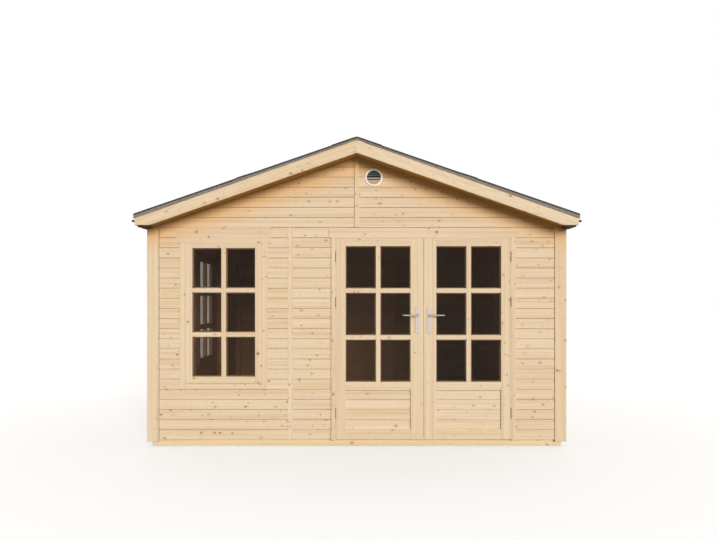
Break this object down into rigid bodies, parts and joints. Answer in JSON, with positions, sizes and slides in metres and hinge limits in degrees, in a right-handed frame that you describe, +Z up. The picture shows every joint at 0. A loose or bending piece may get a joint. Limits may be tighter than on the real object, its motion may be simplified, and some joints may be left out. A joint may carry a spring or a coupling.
{
  "type": "garden log cabin",
  "caption": "Garden cabin of horizontal spruce boards between posts, with a felted gable roof, glazed double doors and glazed windows.",
  "frame": {"origin": "on the ground at the middle of the plan", "axes": "+Z up; the door front faces -Y and +X is to the right of someone looking at it"},
  "size_m": [3.812, 4.056, 2.6725],
  "materials": {
    "spruce": "planed, untreated",
    "satin_metal": "satin",
    "glass": "clear",
    "felt": "matt, sanded",
    "drip": "matt",
    "vent": "satin"
  },
  "bodies": {
    "cabin": {"base_rails": "spruce", "base_joists": "spruce", "floor": "spruce", "corner_posts": "spruce", "joint_posts": "spruce", "wall_plates": "spruce", "front_window_panel": "spruce", "front_infill_panels": "spruce", "front_gable": "spruce", "back_wall": "spruce", "back_gable": "spruce", "left_window_panel": "spruce", "left_wall": "spruce", "right_wall": "spruce", "gable_strips": "spruce", "window_casings": "spruce", "window_heads": "spruce", "window_sashes": "spruce", "door_studs": "spruce", "door_stop_bars": "spruce", "door_jambs": "spruce", "door_lintel": "spruce", "door_head": "spruce", "purlins": "spruce", "eave_beams": "spruce", "verge_soffits": "spruce", "roof_deck_left": "spruce", "roof_deck_right": "spruce", "bargeboards_left": "spruce", "bargeboards_right": "spruce", "eave_boards": "spruce", "door_hinge_frames": "satin_metal", "window_glass": "glass", "roof_felt": "felt", "drip_strips": "drip", "gable_vent": "vent"},
    "left_door": {"left_door_leaf": "spruce", "left_door_panel": "spruce", "left_door_glass": "glass", "left_hinge_leaves": "satin_metal", "left_handle_plates": "satin_metal"},
    "left_handle": {"left_lever": "satin_metal"},
    "right_door": {"right_door_leaf": "spruce", "right_door_panel": "spruce", "right_door_glass": "glass", "right_hinge_leaves": "satin_metal", "right_handle_plates": "satin_metal"},
    "right_handle": {"right_lever": "satin_metal"}
  },
  "joints": [
    {"name": "left_door_hinge", "type": "hinge", "parent": "cabin", "child": "left_door", "pos_m": [-0.184, -1.85, 0.95], "axis": [0, 0, -1], "range_deg": [0, 110]},
    {"name": "right_door_hinge", "type": "hinge", "parent": "cabin", "child": "right_door", "pos_m": [1.354, -1.85, 0.95], "axis": [0, 0, 1], "range_deg": [0, 110]},
    {"name": "left_lever_turn", "type": "hinge", "parent": "left_door", "child": "left_handle", "pos_m": [0.5325, -1.828, 1.156], "axis": [0, -1, 0], "range_deg": [0, 40], "stiffness_Nm_per_rad": 2, "springref_deg": -14.32},
    {"name": "right_lever_turn", "type": "hinge", "parent": "right_door", "child": "right_handle", "pos_m": [0.6375, -1.828, 1.156], "axis": [0, 1, 0], "range_deg": [0, 40], "stiffness_Nm_per_rad": 2, "springref_deg": -14.32}
  ]
}
